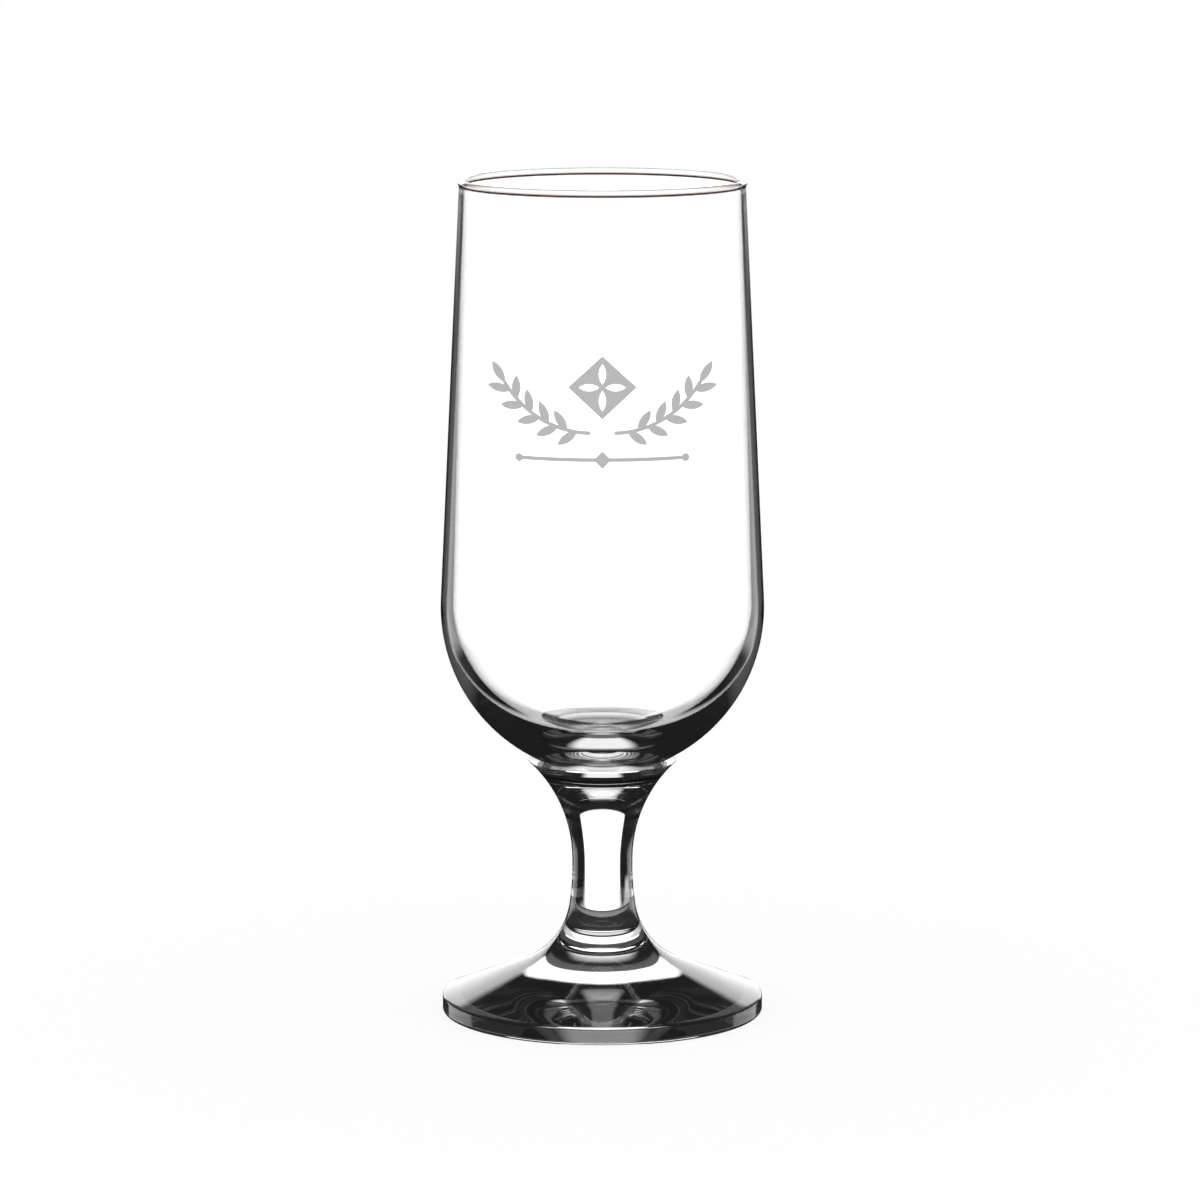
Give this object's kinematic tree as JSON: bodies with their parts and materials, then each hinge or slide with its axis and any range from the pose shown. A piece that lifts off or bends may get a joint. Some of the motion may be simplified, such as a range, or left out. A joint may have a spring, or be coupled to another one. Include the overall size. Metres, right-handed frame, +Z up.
{
  "type": "pilsner glass",
  "caption": "Footed pilsner glass: tall clear bowl with a rounded underside, fused on a short flared stem and a round sloping foot, with a grey enamel ornament on the front.",
  "frame": {"origin": "centre of the foot, on the table", "axes": "+Z up the glass's axis to the rim, -Y out of the front that carries the print, +X to the right as seen from the front"},
  "size_m": [0.072, 0.072, 0.187],
  "materials": {
    "clear_glass": "clear, fire-polished soda-lime glass",
    "grey_enamel": "satin grey enamel, printed and fired on"
  },
  "bodies": {
    "root": {"bowl": "clear_glass", "stem": "clear_glass", "foot": "clear_glass", "print_lozenge": "grey_enamel", "print_sprig_left": "grey_enamel", "print_sprig_right": "grey_enamel", "print_rule": "grey_enamel"}
  },
  "joints": []
}
